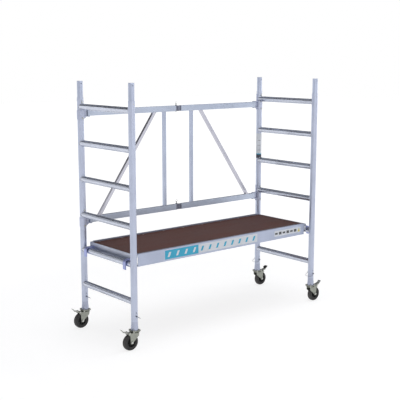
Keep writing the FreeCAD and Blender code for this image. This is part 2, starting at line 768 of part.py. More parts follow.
# ---- Platform ---------------------------------------------------------------------------------------
def side_beam():
    """Rear side beam: web, box along its top edge, deck ledge and bottom flange."""
    outer = beam_outer_y
    web_in = outer - beam_wall
    lip_in = beam_lip_y
    xs = (-beam_end_x, beam_end_x)
    ledge_top = deck_bottom_z - fit_gap
    flange_in = outer - beam_lip - 3.0
    shapes = [
        box(xs, (web_in, outer), (beam_bottom_z, beam_top_z)),
        box(xs, (lip_in, outer), (beam_top_z - beam_wall, beam_top_z)),
        box(xs, (lip_in, lip_in + beam_wall), (ledge_top - beam_wall, beam_top_z)),
        box(xs, (ledge_y, web_in), (ledge_top - beam_wall, ledge_top)),
        box(xs, (flange_in, outer), (beam_bottom_z, beam_bottom_z + beam_wall)),
        box(xs, (flange_in, flange_in + beam_wall), (beam_bottom_z, beam_bottom_z + 10.0)),
    ]
    return joined(shapes)


def end_channel():
    """Right end channel: outer wall with a thick rim, deck seat, bottom flange and corner blocks."""
    outer = channel_outer_x
    inner = beam_end_x + fit_gap
    top = deck_top_z + beam_wall + fit_gap
    low = deck_top_z - channel_depth
    ys = (-beam_outer_y, beam_outer_y)
    seat = deck_bottom_z - fit_gap
    shapes = [
        box((outer - beam_wall, outer), ys, (low, top)),
        box((outer - channel_rim, outer), ys, (seat, top)),
        box((inner, outer), ys, (seat - beam_wall, seat)),
        box((inner, outer), ys, (low, low + beam_wall)),
    ]
    for side in (-1, 1):
        shapes.append(box((inner, outer), (side * beam_lip_y, side * beam_outer_y), (seat - beam_wall, top)))
    return joined(shapes)


def deck_board():
    """Plywood deck on the beams' ledges and the channels' seats."""
    half_x = channel_outer_x - channel_rim - fit_gap
    half_y = beam_lip_y - fit_gap
    return box((-half_x, half_x), (-half_y, half_y), (deck_bottom_z, deck_top_z))


def joist(x):
    """Box-section cross member, notched round the beams' ledges."""
    high = deck_bottom_z - fit_gap
    low = high - joist_height
    half_y = beam_outer_y - beam_wall - fit_gap
    wall = 2.5
    xs = (x - joist_width / 2, x + joist_width / 2)
    hollow_xs = (xs[0] + wall, xs[1] - wall)
    solid = box(xs, (-half_y, half_y), (low, high))
    solid = solid.cut(box(hollow_xs, (-half_y, half_y), (low + wall, high - wall)))
    notch_y = ledge_y - fit_gap
    notch_z = high - beam_wall - 2 * fit_gap
    for side in (-1, 1):
        solid = solid.cut(box(xs, (side * notch_y, side * half_y), (notch_z, high)))
    return solid


def rung_hook(y):
    """Right-end hook: back plate on the channel, saddle over the rung and outer leg."""
    seat = rung_radius + hook_seat_gap
    crest = seat + hook_thickness
    root = -channel_end_gap
    plate = 3.5
    jaw = hook_jaw_gap
    leg = jaw + hook_thickness
    round_in = jaw - 10.0
    bend = round_in * (1 - math.sqrt(0.5))
    outer_bend = (round_in + hook_thickness) * (1 - math.sqrt(0.5))

    def point(along, up):
        return Vector(post_x + along, y - hook_width / 2, hook_rung_z + up)

    inner_arc = Part.Arc(
        point(jaw - round_in, seat), point(jaw - bend, seat - bend), point(jaw, seat - round_in)
    )
    outer_arc = Part.Arc(
        point(leg, seat - round_in),
        point(leg - outer_bend, crest - outer_bend),
        point(jaw - round_in, crest),
    )
    tip = [point(jaw, seat - round_in), point(jaw, -hook_drop), point(jaw + 3.0, -hook_drop - 3.0)]
    tip += [point(leg, -hook_drop), point(leg, seat - round_in)]
    back = [point(jaw - round_in, crest), point(root, crest), point(root, -5.0)]
    back += [point(root + plate, -5.0), point(root + plate, seat), point(jaw - round_in, seat)]
    edges = [inner_arc.toShape()]
    edges += [Part.makeLine(a, b) for a, b in zip(tip, tip[1:])]
    edges.append(outer_arc.toShape())
    edges += [Part.makeLine(a, b) for a, b in zip(back, back[1:])]
    return Part.Face(Part.Wire(edges)).extrude(Vector(0, hook_width, 0))


# ---- Build every node ---------------------------------------------------------------------------------
os.makedirs("parts", exist_ok=True)

for side_name, side in SIDES.items():
    for row_name, row in ROWS.items():
        is_rear = row > 0
        x = side * post_x
        y = row * post_y
        corner = side_name + "_" + row_name
        save(corner + "_post", [post(x, y, is_rear)])
        save(corner + "_fork", [at_post(fork(), side, row)])
        save(corner + "_axle_pins", [at_post(pin, side, row) for pin in axle_set()])
        save(corner + "_rim", [at_post(rim(), side, row)])
        save(corner + "_tyre", [at_post(tyre(), side, row)])
        save(corner + "_brake_pedal", [at_post(pedal(), side, row)])
    rows = list(ROWS.values())
    bolts = [plate_bolt(bolt_x, bolt_y) for bolt_x, bolt_y in bolt_places()]
    hinges = [centre_hinge(z, side < 0) for z in rail_heights]
    brackets = [post_bracket(*levels) for levels in zip(bracket_rungs, rail_heights)]
    foot_x = post_hinge_x - diagonal_foot_gap
    save(side_name + "_spigots", [spigot(side * post_x, row * post_y, row > 0) for row in rows])
    save(side_name + "_rungs", rungs(side))
    save(side_name + "_castor_stems", [at_post(stem(), side, row) for row in rows])
    save(side_name + "_castor_plates", [at_post(castor_plate(), side, row) for row in rows])
    save(side_name + "_plate_bolts", [at_post(bolt, side, row) for row in rows for bolt in bolts])
    save(side_name + "_snap_pins", [at_post(snap_pin(), side, row) for row in rows])
    save(side_name + "_post_brackets", [to_side(bracket, side) for bracket in brackets])
    save(side_name + "_bracket_bolts", bracket_bolts(side))
    save(side_name + "_post_hinge_pins", [to_side(post_hinge_pin(z), side) for z in rail_heights])
    save(side_name + "_lower_rail", [to_side(rail(rail_heights[0]), side)])
    save(side_name + "_top_rail", [to_side(rail(rail_heights[1]), side)])
    save(side_name + "_upright", [to_side(brace(upright_x, upright_x), side)])
    save(side_name + "_diagonal", [to_side(brace(foot_x, upright_x + diagonal_top_gap), side)])
    save(side_name + "_centre_hinges", [to_side(hinge, side) for hinge in hinges])
    save(side_name + "_end_channel", [to_side(end_channel(), side)])

save("centre_hinge_pins", [piece(z) for z in rail_heights for piece in (centre_pin, pull_ring)])
for row_name, row in ROWS.items():
    save(row_name + "_side_beam", [to_row(side_beam(), row)])
save("deck_board", [deck_board()])
joist_step = 2 * beam_end_x / (joist_count + 1)
save("deck_joists", [joist(-beam_end_x + joist_step * (i + 1)) for i in range(joist_count)])
hook_y = post_y - hook_inset
save("rung_hooks", [to_side(rung_hook(y), side) for side in SIDES.values() for y in (-hook_y, hook_y)])
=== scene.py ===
"""Looks of the folding room scaffold section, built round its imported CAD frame.

Metres, in the CAD frame: +X along the bay, +Y towards the guard-rail side, +Z up.
"""
import math

import bmesh
import bpy
from mathutils import Matrix, Vector


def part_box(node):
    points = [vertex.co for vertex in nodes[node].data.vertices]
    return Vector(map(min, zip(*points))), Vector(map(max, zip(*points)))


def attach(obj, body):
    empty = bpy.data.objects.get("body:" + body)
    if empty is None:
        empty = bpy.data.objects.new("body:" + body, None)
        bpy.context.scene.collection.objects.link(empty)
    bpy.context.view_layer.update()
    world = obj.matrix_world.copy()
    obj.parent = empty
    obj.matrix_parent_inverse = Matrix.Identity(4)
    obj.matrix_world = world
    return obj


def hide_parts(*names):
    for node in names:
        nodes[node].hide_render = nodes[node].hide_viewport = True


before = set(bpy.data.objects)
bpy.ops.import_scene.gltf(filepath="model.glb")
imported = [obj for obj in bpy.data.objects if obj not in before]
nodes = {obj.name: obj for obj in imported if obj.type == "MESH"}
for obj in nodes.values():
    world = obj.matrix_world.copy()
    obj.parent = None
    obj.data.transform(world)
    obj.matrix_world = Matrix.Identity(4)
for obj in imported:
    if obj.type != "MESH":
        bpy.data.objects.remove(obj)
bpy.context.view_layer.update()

MM = 0.001
SIDES = ("left", "right")
ROWS = {"front": -1, "rear": 1}
CORNERS = [(side, row) for side in SIDES for row in ROWS]
RUNG_COUNT = 6
RUNG_RADIUS = 23.75 * MM
ADAPTER_THICKNESS = 3.5 * MM
FILM = 0.35 * MM


# ---- Places read from the frame ----------------------------------------------------------
def middle(node):
    low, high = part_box(node)
    return (low + high) / 2


def post_axis(side, row):
    centre = middle(f"{side}_{row}_post")
    return Vector((centre.x, centre.y, 0))


def rung_heights():
    low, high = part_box("left_rungs")
    first = low.z + RUNG_RADIUS
    pitch = (high.z - low.z - 2 * RUNG_RADIUS) / (RUNG_COUNT - 1)
    return [first + pitch * i for i in range(RUNG_COUNT)]


post_low, post_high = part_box("right_front_post")
POST_RADIUS = (post_high.x - post_low.x) / 2
POST_TOP = post_high.z
RUNG_Z = rung_heights()
BEAM_LOW, BEAM_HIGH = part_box("front_side_beam")
DECK_LOW, DECK_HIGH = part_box("deck_board")

# The stripe's start, colour change and end, and the safety label's two ends, along the front beam.
BAND_X = (BEAM_LOW.x + 252 * MM, BEAM_LOW.x + 582 * MM, BEAM_LOW.x + 1219 * MM)
SAFETY_X = (BEAM_HIGH.x - 362 * MM, BEAM_HIGH.x - 41 * MM)
WRAP_CENTRE = 235.0


# ---- Shader building ---------------------------------------------------------------------
def srgb(red, green, blue):
    """A colour given in the usual 0 to 255 steps, in the linear values shaders use."""
    def linear(value):
        value /= 255
        return value / 12.92 if value <= 0.04045 else ((value + 0.055) / 1.055) ** 2.4

    return (linear(red), linear(green), linear(blue), 1.0)


class Shader:
    """A material with one Principled shader and short calls for the nodes that feed it."""

    def __init__(self, name, **constants):
        self.material = bpy.data.materials.new(name)
        self.material.use_nodes = True
        self.tree = self.material.node_tree
        self.surface = self.tree.nodes["Principled BSDF"]
        coordinates = self.tree.nodes.new("ShaderNodeTexCoord")
        self.place = coordinates.outputs["Object"]
        self.facing = coordinates.outputs["Normal"]
        for socket, value in constants.items():
            self.surface.inputs[socket.replace("_", " ")].default_value = value

    def node(self, kind, inputs, output=0, **settings):
        """Adds a node, sets or links its inputs, and gives one of its outputs."""
        made = self.tree.nodes.new("ShaderNode" + kind)
        for key, value in settings.items():
            setattr(made, key, value)
        for key, value in inputs.items():
            self.feed(made.inputs[key], value)
        return made.outputs[output]

    def feed(self, socket, value):
        if isinstance(value, bpy.types.NodeSocket):
            self.tree.links.new(value, socket)
        else:
            socket.default_value = value

    def set(self, socket, value):
        self.feed(self.surface.inputs[socket], value)

    def stretched(self, scale):
        return self.node("Mapping", {"Vector": self.place, "Scale": scale})

    def noise(self, vector, scale, detail=4.0, rough=0.55):
        inputs = {"Vector": vector, "Scale": scale, "Detail": detail, "Roughness": rough}
        return self.node("TexNoise", inputs, output="Fac")

    def cells(self, vector, scale):
        return self.node("TexVoronoi", {"Vector": vector, "Scale": scale}, output="Color")

    def band(self, value, low, high, new_low=0.0, new_high=1.0):
        """The value stretched from one range to another and clamped."""
        inputs = {"Value": value, "From Min": low, "From Max": high}
        inputs.update({"To Min": new_low, "To Max": new_high})
        return self.node("MapRange", inputs)

    def maths(self, operation, first, second=0.0):
        return self.node("Math", {0: first, 1: second}, operation=operation)

    def mix(self, factor, first, second):
        made = self.tree.nodes.new("ShaderNodeMix")
        made.data_type = "RGBA"
        for key, kind, value in (("Factor", "VALUE", factor), ("A", "RGBA", first), ("B", "RGBA", second)):
            socket = [s for s in made.inputs if s.name == key and s.type == kind][0]
            self.feed(socket, value)
        return [s for s in made.outputs if s.type == "RGBA"][0]

    def parts(self, vector):
        made = self.tree.nodes.new("ShaderNodeSeparateXYZ")
        self.feed(made.inputs[0], vector)
        return made.outputs

    def relief(self, height, strength, distance, edge_radius=0.0):
        """Bump from a height, over softly rounded edges where a radius is given."""
        inputs = {"Height": height, "Strength": strength, "Distance": distance}
        if edge_radius:
            inputs["Normal"] = self.node("Bevel", {"Radius": edge_radius}, samples=4)
        self.set("Normal", self.node("Bump", inputs))


def shade(colour, factor):
    return tuple(c * factor for c in colour[:3]) + (1.0,)


GRAIN_SCALES = {"x": (5.0, 420.0, 420.0), "y": (420.0, 5.0, 420.0), "z": (420.0, 420.0, 5.0)}


def aluminium(name, grain, colour, rough=0.33, handled=0.5, metal=0.92):
    """Extruded aluminium: die lines along the grain, cloudy tarnish, fine scuffs."""
    s = Shader(name, Metallic=metal)
    lines = s.noise(s.stretched(GRAIN_SCALES[grain]), 1.0, 5.0, 0.65)
    clouds = s.noise(s.place, 7.0, 4.0)
    scuffs = s.band(s.noise(s.place, 130.0, 8.0, 0.72), 0.60, 0.70)
    worn = s.maths("MULTIPLY", scuffs, s.band(s.noise(s.place, 11.0, 3.0), 0.48, 0.62, 0.0, handled))
    base = s.mix(s.band(lines, 0.3, 0.7), shade(colour, 0.90), shade(colour, 1.07))
    base = s.mix(s.band(clouds, 0.35, 0.68, 0.0, 0.35), base, shade(colour, 0.80))
    base = s.mix(worn, base, shade(colour, 0.55))
    s.set("Base Color", base)
    gloss = s.band(lines, 0.25, 0.75, rough - 0.07, rough + 0.10)
    gloss = s.maths("ADD", gloss, s.band(clouds, 0.35, 0.7, 0.0, 0.08))
    s.set("Roughness", s.maths("ADD", gloss, s.maths("MULTIPLY", worn, 0.2)))
    height = s.maths("SUBTRACT", s.maths("MULTIPLY", lines, 0.8), s.maths("MULTIPLY", worn, 0.7))
    s.relief(height, 0.28, 0.08 * MM, 0.7 * MM)
    return s.material


def zinc(name, colour, rough=0.38, spangle=150.0):
    """Galvanised steel: spangle patches, dull white bloom and grime in the scuffs."""
    s = Shader(name, Metallic=0.85)
    patches = s.cells(s.place, spangle)
    grey = s.node("RGBToBW", {"Color": patches})
    bloom = s.band(s.noise(s.place, 38.0, 6.0), 0.52, 0.70)
    grime = s.band(s.noise(s.place, 90.0, 8.0, 0.7), 0.58, 0.72, 0.0, 0.7)
    base = s.mix(s.band(grey, 0.1, 0.9), shade(colour, 0.82), shade(colour, 1.12))
    base = s.mix(s.maths("MULTIPLY", bloom, 0.45), base, shade(colour, 1.3))
    s.set("Base Color", s.mix(grime, base, shade(colour, 0.42)))
    gloss = s.band(grey, 0.0, 1.0, rough - 0.08, rough + 0.12)
    s.set("Roughness", s.maths("ADD", gloss, s.maths("MULTIPLY", bloom, 0.2)))
    s.relief(s.maths("ADD", grey, bloom), 0.22, 0.3 * MM, 0.6 * MM)
    return s.material


def plastic(name, colour, rough=0.42, texture=900.0):
    """Moulded black nylon: fine spark-eroded texture, dust and rub marks."""
    s = Shader(name, Metallic=0.0, Specular_IOR_Level=0.42)
    skin = s.noise(s.place, texture, 3.0)
    dust = s.band(s.noise(s.place, 60.0, 6.0, 0.65), 0.50, 0.72, 0.0, 0.35)
    s.set("Base Color", s.mix(dust, colour, (0.10, 0.098, 0.092, 1.0)))
    gloss = s.band(skin, 0.3, 0.7, rough - 0.06, rough + 0.08)
    s.set("Roughness", s.maths("ADD", gloss, s.maths("MULTIPLY", dust, 0.5)))
    s.relief(skin, 0.25, 0.15 * MM, 0.5 * MM)
    return s.material


def rubber(name):
    """Grey-black tyre rubber, drawn about its own axle: scrubbed tread and dusty sides."""
    s = Shader(name, Metallic=0.0, Specular_IOR_Level=0.3)
    xyz = s.parts(s.place)
    flat = s.node("CombineXYZ", {"X": xyz["X"], "Z": xyz["Z"]})
    radius = s.node("VectorMath", {0: flat}, output="Value", operation="LENGTH")
    tread = s.band(radius, 54 * MM, 62 * MM)
    speckle = s.noise(s.place, 420.0, 8.0, 0.7)
    dust = s.band(s.noise(s.place, 45.0, 6.0, 0.6), 0.42, 0.72)
    side = s.mix(s.maths("MULTIPLY", dust, 0.5), srgb(52, 51, 52), srgb(88, 85, 82))
    crown = s.mix(s.band(speckle, 0.35, 0.7), srgb(62, 61, 62), srgb(90, 88, 86))
    s.set("Base Color", s.mix(tread, side, crown))
    s.set("Roughness", s.band(speckle, 0.3, 0.7, 0.55, 0.85))
    rings = s.maths("SINE", s.maths("MULTIPLY", radius, 2 * math.pi / (1.6 * MM)))
    walls = s.maths("MULTIPLY", s.maths("MULTIPLY", rings, 0.35), s.maths("SUBTRACT", 1.0, tread))
    s.relief(s.maths("ADD", speckle, walls), 0.4, 0.35 * MM)
    return s.material


def film_plywood(name):
    """Birch plywood with a brown phenolic film, wire-mesh imprint on both faces."""
    s = Shader(name, Metallic=0.0, Specular_IOR_Level=0.25)
    xyz = s.parts(s.place)
    pitch = 2 * math.pi / (7 * MM)
    across = s.maths("SINE", s.maths("MULTIPLY", s.maths("ADD", xyz["X"], xyz["Y"]), pitch))
    along = s.maths("SINE", s.maths("MULTIPLY", s.maths("SUBTRACT", xyz["X"], xyz["Y"]), pitch))
    mesh = s.maths("MAXIMUM", across, along)
    clouds = s.noise(s.stretched((1.2, 5.0, 1.0)), 2.2, 5.0)
    wear = s.band(s.noise(s.place, 26.0, 9.0, 0.7), 0.55, 0.74)
    traffic = s.band(s.noise(s.place, 2.8, 3.0), 0.42, 0.62)
    film = s.mix(s.band(clouds, 0.3, 0.7), srgb(84, 53, 46), srgb(99, 64, 56))
    film = s.mix(s.band(mesh, 0.2, 1.0, 0.0, 0.35), film, srgb(72, 43, 37))
    rubbed = s.maths("MULTIPLY", s.maths("MULTIPLY", wear, traffic), 0.55)
    film = s.mix(rubbed, film, srgb(134, 114, 102))
    ply = s.maths("SINE", s.maths("MULTIPLY", xyz["Z"], 2 * math.pi / (2.8 * MM)))
    fibres = s.noise(s.stretched((90.0, 90.0, 900.0)), 1.0, 5.0)
    edge = s.mix(s.band(ply, -0.4, 0.4), srgb(150, 116, 78), srgb(196, 164, 120))
    edge = s.mix(s.band(fibres, 0.4, 0.7, 0.0, 0.5), edge, srgb(110, 80, 52))
    upright = s.maths("ABSOLUTE", s.parts(s.facing)["Z"])
    face = s.band(upright, 0.4, 0.6)
    s.set("Base Color", s.mix(face, edge, film))
    gloss = s.band(clouds, 0.3, 0.7, 0.50, 0.62)
    s.set("Roughness", s.maths("ADD", gloss, s.maths("MULTIPLY", wear, 0.2)))
    height = s.maths("ADD", s.maths("MULTIPLY", mesh, 0.6), s.maths("MULTIPLY", wear, -0.4))
    s.relief(height, 0.35, 0.4 * MM)
    return s.material


def vinyl(name, colour, rough=0.3):
    """Printed self-adhesive film: faint orange peel, fading and fine scratches."""
    s = Shader(name, Metallic=0.0, Coat_Weight=0.3, Coat_Roughness=0.25)
    fade = s.noise(s.place, 9.0, 4.0)
    scratches = s.band(s.noise(s.stretched((60.0, 900.0, 900.0)), 1.0, 6.0, 0.7), 0.62, 0.70, 0.0, 0.35)
    base = s.mix(s.band(fade, 0.35, 0.7), colour, shade(colour, 0.88))
    s.set("Base Color", s.mix(scratches, base, srgb(168, 172, 180)))
    s.set("Roughness", s.band(fade, 0.3, 0.7, rough - 0.05, rough + 0.12))
    s.relief(s.noise(s.place, 700.0, 3.0), 0.08, 0.1 * MM)
    return s.material


# ---- Mesh building -----------------------------------------------------------------------
def piece(name, body, material, verts, faces, smooth=True, origin=None):
    """A mesh object on a body, its points given in the frame or about an origin."""
    mesh = bpy.data.meshes.new(name)
    mesh.from_pydata([tuple(v) for v in verts], [], faces)
    mesh.validate()
    for polygon in mesh.polygons:
        polygon.use_smooth = smooth
    mesh.materials.append(material)
    made = bpy.data.objects.new(name, mesh)
    if origin is not None:
        made.location = origin
    bpy.context.scene.collection.objects.link(made)
    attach(made, body)
    return made


class Build:
    """Verts and faces gathered from several simple closed shapes."""

    def __init__(self):
        self.verts = []
        self.faces = []

    def grid(self, rings, closed_along):
        """Joins rings of equal length into a tube, closed on itself or with end fans."""
        start = len(self.verts)
        size = len(rings[0])
        for ring in rings:
            self.verts += ring
        spans = len(rings) if closed_along else len(rings) - 1
        for i in range(spans):
            a = start + i * size
            b = start + (i + 1) % len(rings) * size
            for j in range(size):
                k = (j + 1) % size
                self.faces.append((a + j, a + k, b + k, b + j))
        if not closed_along:
            self.faces.append(tuple(start + j for j in reversed(range(size))))
            last = start + (len(rings) - 1) * size
            self.faces.append(tuple(last + j for j in range(size)))

    def bead(self, path, radius, ripple, waves, sides=8):
        """A closed weld bead along a loop of points, with overlapping ripples."""
        count = len(path)
        rings = []
        for i, point in enumerate(path):
            along = (path[(i + 1) % count] - path[i - 1]).normalized()
            across = along.orthogonal().normalized()
            if abs(along.z) < 0.99:
                across = along.cross(Vector((0, 0, 1))).normalized()
            up = along.cross(across)
            phase = (waves * i / count) % 1.0
            size = radius * (1 - ripple + ripple * math.sqrt(1 - (2 * phase - 1) ** 2) * 1.6)
            turn = [2 * math.pi * j / sides for j in range(sides)]
            rings.append([point + (across * math.cos(t) + up * math.sin(t)) * size for t in turn])
        self.grid(rings, True)

    def turned(self, profile, matrix, segments=24, closed=False):
        """A solid of revolution about local Z from (radius, z) points."""
        rings = []
        for radius, z in profile:
            angles = [2 * math.pi * j / segments for j in range(segments)]
            rings.append([matrix @ Vector((radius * math.cos(t), radius * math.sin(t), z)) for t in angles])
        self.grid(rings, closed)

    def block(self, low, high, round_by=0.0, matrix=None):
        """A box with rounded edges."""
        work = bmesh.new()
        bmesh.ops.create_cube(work, size=1.0)
        size = high - low
        for v in work.verts:
            v.co = Vector((v.co.x * size.x, v.co.y * size.y, v.co.z * size.z)) + (low + high) / 2
        if round_by:
            edges = list(work.edges)
            bmesh.ops.bevel(work, geom=edges, offset=round_by, segments=2, affect="EDGES", profile=0.5)
        start = len(self.verts)
        self.verts += [matrix @ v.co if matrix else v.co.copy() for v in work.verts]
        self.faces += [tuple(start + v.index for v in f.verts) for f in work.faces]
        work.free()


def dome(radius, height, steps=5):
    """Profile of a domed rivet head standing on z = 0, its foot sunk a little."""
    points = [(0.0001, -0.3 * MM), (radius, -0.3 * MM), (radius, 0.0)]
    for i in range(1, steps):
        angle = math.pi / 2 * i / steps
        points.append((radius * math.cos(angle), height * math.sin(angle)))
    return points + [(0.0001, height)]


def facing(point, direction):
    """Matrix that puts local Z along a direction at a point."""
    turn = direction.to_track_quat("Z", "Y").to_matrix().to_4x4()
    return Matrix.Translation(point) @ turn


# ---- Materials ---------------------------------------------------------------------------
LAVENDER = srgb(190, 197, 216)
PALE = srgb(206, 211, 224)
finishes = {
    "post": aluminium("post_aluminium", "z", LAVENDER, 0.34),
    "spigot": aluminium("spigot_aluminium", "z", srgb(184, 192, 212), 0.32),
    "rung": aluminium("rung_aluminium", "y", PALE, 0.15, 0.4, 0.97),
    "stem": aluminium("stem_aluminium", "z", srgb(180, 186, 206), 0.36),
    "rail": aluminium("rail_aluminium", "x", srgb(191, 200, 217), 0.34),
    "upright": aluminium("upright_aluminium", "z", srgb(186, 194, 213), 0.33),
    "brace": aluminium("brace_aluminium", "z", srgb(204, 204, 214), 0.24),
    "bracket": aluminium("bracket_aluminium", "z", srgb(192, 198, 218), 0.40, 0.8),
    "beam": aluminium("beam_aluminium", "x", srgb(178, 186, 206), 0.33),
    "joist": aluminium("joist_aluminium", "y", srgb(196, 201, 214), 0.38),
    "hook": aluminium("hook_aluminium", "z", srgb(172, 180, 224), 0.40, 0.8),
    "hinge": zinc("hinge_steel", srgb(138, 142, 158), 0.42),
    "zinc": zinc("zinc_steel", srgb(158, 161, 152), 0.40),
    "bolt": zinc("bolt_steel", srgb(196, 197, 192), 0.28, 400.0),
    "spring": zinc("spring_steel", srgb(112, 116, 132), 0.34, 500.0),
    "pedal": zinc("pedal_steel", srgb(176, 178, 172), 0.36, 220.0),
    "rim": plastic("wheel_nylon", srgb(22, 22, 23)),
    # Black pad on one pedal only: painted shade, not a rubber part the pedals carry.
    "pad": plastic("pedal_painted_shade", srgb(18, 18, 18), 0.6, 500.0),
    "tyre": rubber("tyre_rubber"),
    "deck": film_plywood("film_plywood"),
    "weld": aluminium("weld_aluminium", "z", srgb(206, 209, 220), 0.38, 0.8),
    "cyan": vinyl("vinyl_cyan", srgb(22, 164, 200)),
    "white": vinyl("vinyl_white", srgb(212, 217, 224)),
    "navy": vinyl("vinyl_navy", srgb(24, 36, 60)),
    "dark": vinyl("vinyl_dark", srgb(60, 62, 66)),
    "yellow": vinyl("vinyl_yellow", srgb(206, 190, 92)),
}

NODE_FINISHES = {
    "post": "post", "spigots": "spigot", "rungs": "rung", "castor_stems": "stem", "castor_plates": "zinc",
    "plate_bolts": "bolt", "snap_pins": "spring", "post_brackets": "bracket", "bracket_bolts": "bolt",
    "post_hinge_pins": "bolt", "lower_rail": "rail", "top_rail": "rail", "upright": "upright",
    "diagonal": "brace", "centre_hinges": "hinge", "centre_hinge_pins": "bolt", "side_beam": "beam",
    "end_channel": "joist", "deck_board": "deck", "deck_joists": "joist", "rung_hooks": "hook",
    "fork": "zinc", "axle_pins": "bolt", "rim": "rim", "tyre": "tyre", "brake_pedal": "pedal",
}


def finish_of(node):
    endings = [e for e in NODE_FINISHES if node == e or node.endswith("_" + e)]
    return finishes[NODE_FINISHES[max(endings, key=len)]]


def dress_nodes():
    for name, node in nodes.items():
        node.data.materials.clear()
        node.data.materials.append(finish_of(name))
    for side in SIDES:
        galvanise_adapters(nodes[f"{side}_castor_stems"].data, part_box(f"{side}_castor_plates")[1].z)


def galvanise_adapters(mesh, plate_top):
    """The square plate welded under each stem is galvanised, the stem above it is not."""
    mesh.materials.append(finishes["zinc"])
    limit = plate_top + ADAPTER_THICKNESS + 0.1 * MM
    for polygon in mesh.polygons:
        polygon.material_index = 1 if polygon.center.z < limit else 0


# ---- Welds and rivets --------------------------------------------------------------------
def rung_end_loop(axis, z, inward):
    """Loop where a rung meets the round wall of its post."""
    steps = 96
    loop = []
    for i in range(steps):
        angle = 2 * math.pi * i / steps
        x = RUNG_RADIUS * math.cos(angle)
        y = inward * math.sqrt(POST_RADIUS ** 2 - x ** 2)
        loop.append(Vector((axis.x + x, axis.y + y, z + RUNG_RADIUS * math.sin(angle))))
    return loop


def rung_welds():
    for side in SIDES:
        build = Build()
        for row, sign in ROWS.items():
            for z in RUNG_Z:
                build.bead(rung_end_loop(post_axis(side, row), z, -sign), 2.3 * MM, 0.35, 34)
        name = f"{side}_rung_welds"
        piece(name, f"{side}_frame", finishes["weld"], build.verts, build.faces)


def foot_loop(node, at_top):
    """Loop round the level end of a brace, read from its own corners."""
    corners = [v.co for v in nodes[node].data.vertices]
    level = max(c.z for c in corners) if at_top else min(c.z for c in corners)
    ends = [c for c in corners if abs(c.z - level) < 0.1 * MM]
    low = Vector((min(c.x for c in ends), min(c.y for c in ends), level))
    high = Vector((max(c.x for c in ends), max(c.y for c in ends), level))
    outline = [low, Vector((high.x, low.y, level)), high, Vector((low.x, high.y, level))]
    steps = 16
    loop = []
    for i, start in enumerate(outline):
        end = outline[(i + 1) % 4]
        loop += [start.lerp(end, (j + 0.5) / steps) for j in range(steps)]
    return loop


def brace_welds():
    for side in SIDES:
        build = Build()
        for brace in ("upright", "diagonal"):
            for at_top in (False, True):
                build.bead(foot_loop(f"{side}_{brace}", at_top), 1.9 * MM, 0.35, 26)
        name = f"{side}_brace_welds"
        piece(name, f"{side}_panel", finishes["weld"], build.verts, build.faces)


def spigot_rivets():
    """Two rivets through the top of each post hold its spigot."""
    rivet_z = POST_TOP - 24 * MM
    for side in SIDES:
        build = Build()
        for row in ROWS:
            for out in (-1, 1):
                point = post_axis(side, row) + Vector((0, out * POST_RADIUS, rivet_z))
                build.turned(dome(4.2 * MM, 1.8 * MM), facing(point, Vector((0, out, 0))))
        name = f"{side}_spigot_rivets"
        piece(name, f"{side}_frame", finishes["bolt"], build.verts, build.faces)


def deck_rivets():
    """Rivets that hold the board on the ledges of the side beams."""
    build = Build()
    count = 9
    side_inset = 14 * MM
    end_inset = 60 * MM
    span = DECK_HIGH.x - DECK_LOW.x - 2 * end_inset
    for y in (DECK_LOW.y + side_inset, DECK_HIGH.y - side_inset):
        for i in range(count):
            point = Vector((DECK_LOW.x + end_inset + span * i / (count - 1), y, DECK_HIGH.z))
            build.turned(dome(5.0 * MM, 1.6 * MM), facing(point, Vector((0, 0, 1))))
    piece("deck_rivets", "platform", finishes["bolt"], build.verts, build.faces)


# ---- Wheels ------------------------------------------------------------------------------
def tyre_profile(radius, half, seat):
    """Closed outline of a solid tyre: flat tread, round shoulders, raised side ring."""
    crown = 6.0 * MM
    shoulder_centre = radius - 10.5 * MM
    shoulder_reach = 10.2 * MM
    steps = 6
    points = [(radius, 0.0), (radius - 0.1 * MM, crown)]
    for i in range(1, steps + 1):
        angle = math.pi / 2 * i / steps
        side = crown + (half - crown) * math.sin(angle)
        points.append((shoulder_centre + shoulder_reach * math.cos(angle), side))
    points += [(seat + 6.0 * MM, half - 0.2 * MM), (seat + 5.0 * MM, half - 1.2 * MM)]
    points += [(seat + 3.0 * MM, half - 1.2 * MM), (seat + 1.5 * MM, half - 0.8 * MM)]
    points.append((seat, half - 2.0 * MM))
    return points + [(r, -y) for r, y in reversed(points)][:-1]


def tyres():
    for side, row in CORNERS:
        node = f"{side}_{row}_tyre"
        low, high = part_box(node)
        rim_low, rim_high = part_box(f"{side}_{row}_rim")
        radius = (high.z - low.z) / 2
        half = (high.y - low.y) / 2
        seat = (rim_high.z - rim_low.z) / 2
        build = Build()
        axle = Matrix.Rotation(math.radians(90), 4, "X")
        build.turned(tyre_profile(radius, half, seat), axle, 72, True)
        body = f"{side}_{row}_wheel"
        centre = (low + high) / 2
        name = f"{node}_round"
        made = piece(name, body, finishes["tyre"], build.verts, build.faces, origin=centre)
        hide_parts(node)


def wheel_ribs():
    """Moulded ribs between hub and band on both faces of each wheel centre."""
    ribs = 8
    for side, row in CORNERS:
        low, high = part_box(f"{side}_{row}_rim")
        centre = (low + high) / 2
        build = Build()
        for i in range(ribs):
            turn = Matrix.Translation(centre) @ Matrix.Rotation(2 * math.pi * (i + 0.5) / ribs, 4, "Y")
            for out in (-1, 1):
                near = Vector((-1.6 * MM, out * 3.5 * MM, 13.0 * MM))
                far = Vector((1.6 * MM, out * 12.0 * MM, 33.5 * MM))
                low_corner = Vector(map(min, near, far))
                high_corner = Vector(map(max, near, far))
                build.block(low_corner, high_corner, 0.8 * MM, turn)
        body = f"{side}_{row}_wheel"
        piece(f"{body}_ribs", body, finishes["rim"], build.verts, build.faces, False)


